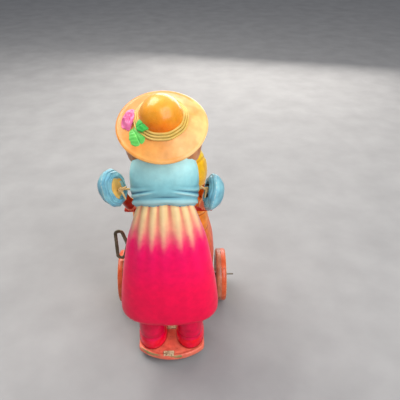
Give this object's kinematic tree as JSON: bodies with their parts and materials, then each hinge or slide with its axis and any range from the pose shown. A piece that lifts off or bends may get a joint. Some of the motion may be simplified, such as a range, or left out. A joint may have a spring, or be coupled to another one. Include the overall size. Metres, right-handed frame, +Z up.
{
  "type": "wind-up chick cart with pushing figure",
  "caption": "Clockwork tin cart on two wheels with a hopping yellow chick in it, pushed by a jointed celluloid girl in a wide straw hat.",
  "frame": {"origin": "on the floor, in the toy's middle plane, under the middle of the standing figure", "axes": "+X to the toy's right, +Y the direction of travel, +Z up"},
  "size_m": [0.0779, 0.0948, 0.1653],
  "materials": {
    "salmon_tin": "litho print, worn gloss",
    "cream_tin": "cream lacquer, worn",
    "orange_tin": "glossy litho print",
    "red_tin": "gloss paint",
    "skirt_celluloid": "sprayed celluloid, satin",
    "sleeve_celluloid": "sprayed celluloid, satin",
    "shoe_celluloid": "glossy sprayed celluloid",
    "flesh_celluloid": "satin celluloid",
    "straw_celluloid": "sprayed celluloid, satin gloss",
    "band_celluloid": "painted band",
    "rose_celluloid": "painted",
    "leaf_celluloid": "painted",
    "chick_celluloid": "sprayed celluloid, satin gloss",
    "beak_celluloid": "painted",
    "comb_celluloid": "painted",
    "eye_paint": "black gloss",
    "elastic": "covered elastic cord",
    "brass": "tarnished",
    "key_metal": "dull, brassy plating",
    "steel": "dull zinc"
  },
  "bodies": {
    "chassis": {"base_plate": "salmon_tin", "chassis_strip": "cream_tin", "caster_bracket": "cream_tin", "caster_pin": "steel", "figure_rear_shell": "skirt_celluloid", "figure_front_shell": "skirt_celluloid", "skirt_floor": "skirt_celluloid", "head": "flesh_celluloid", "hat": "straw_celluloid", "hat_band": "band_celluloid", "rose": "rose_celluloid", "hat_leaves": "leaf_celluloid", "left_leg": "skirt_celluloid", "right_leg": "skirt_celluloid", "left_shoe": "shoe_celluloid", "right_shoe": "shoe_celluloid", "shoulder_elastic": "elastic", "tub_left_shell": "orange_tin", "tub_right_shell": "orange_tin", "tub_rim": "cream_tin", "cart_deck": "orange_tin", "handle_brackets": "red_tin", "handle_grip": "red_tin", "motor_left_plate": "brass", "motor_right_plate": "brass", "motor_pillars": "steel", "motor_bridge": "steel", "mainspring": "steel"},
    "drive": {"drive_axle": "steel", "axle_pinion": "steel", "axle_spacers": "steel", "left_wheel_inner": "orange_tin", "left_wheel_outer": "orange_tin", "right_wheel_inner": "orange_tin", "right_wheel_outer": "orange_tin"},
    "great": {"great_gear": "brass", "click_spring": "steel"},
    "winding": {"key": "key_metal", "winding_arbor": "steel", "ratchet_wheel": "brass"},
    "click": {"click": "steel"},
    "second": {"second_arbor": "steel", "second_pinion": "steel", "second_gear": "brass", "hop_cam": "steel"},
    "governor": {"star_arbor": "steel", "star_pinion": "steel", "star_wheel": "brass"},
    "verge": {"verge": "steel"},
    "caster": {"caster_wheel": "steel"},
    "lifter": {"lifter_rod": "steel", "lifter_plate": "steel", "chick_left_half": "chick_celluloid", "chick_right_half": "chick_celluloid", "chick_beak": "beak_celluloid", "chick_comb": "comb_celluloid", "chick_eyes": "eye_paint"},
    "left_arm": {"left_arm": "sleeve_celluloid"},
    "right_arm": {"right_arm": "sleeve_celluloid"}
  },
  "joints": [
    {"name": "axle_spin", "type": "hinge", "parent": "chassis", "child": "drive", "pos_m": [0, 0.0481, 0.0176], "axis": [1, 0, 0], "continuous": true},
    {"name": "great_spin", "type": "hinge", "parent": "chassis", "child": "great", "pos_m": [0, 0.0435, 0.048], "axis": [1, 0, 0], "continuous": true},
    {"name": "key_wind", "type": "hinge", "parent": "great", "child": "winding", "pos_m": [0, 0.0435, 0.048], "axis": [1, 0, 0], "continuous": true},
    {"name": "click_lift", "type": "hinge", "parent": "great", "child": "click", "pos_m": [0, 0.0435, 0.056], "axis": [1, 0, 0], "range_deg": [0, 14]},
    {"name": "second_spin", "type": "hinge", "parent": "chassis", "child": "second", "pos_m": [0, 0.05224, 0.03532], "axis": [1, 0, 0], "continuous": true},
    {"name": "star_spin", "type": "hinge", "parent": "chassis", "child": "governor", "pos_m": [0, 0.05905, 0.04991], "axis": [1, 0, 0], "continuous": true},
    {"name": "verge_rock", "type": "hinge", "parent": "chassis", "child": "verge", "pos_m": [0, 0.05905, 0.05756], "axis": [1, 0, 0], "range_deg": [-5, 5]},
    {"name": "caster_spin", "type": "hinge", "parent": "chassis", "child": "caster", "pos_m": [0, -0.004, 0.0032], "axis": [1, 0, 0], "continuous": true},
    {"name": "chick_hop", "type": "slide", "parent": "chassis", "child": "lifter", "axis": [0, 0, 1], "range_m": [0, 0.005]},
    {"name": "left_arm_swing", "type": "hinge", "parent": "chassis", "child": "left_arm", "pos_m": [0, 0.0015, 0.1155], "axis": [1, 0, 0], "range_deg": [0, 90]},
    {"name": "right_arm_swing", "type": "hinge", "parent": "chassis", "child": "right_arm", "pos_m": [0, 0.0015, 0.1155], "axis": [1, 0, 0], "range_deg": [0, 90]}
  ],
  "couplings": [
    {"joint": "second_spin", "follows": "axle_spin", "ratio": -0.36842},
    {"joint": "great_spin", "follows": "axle_spin", "ratio": 0.10836},
    {"joint": "star_spin", "follows": "axle_spin", "ratio": 1.75}
  ]
}
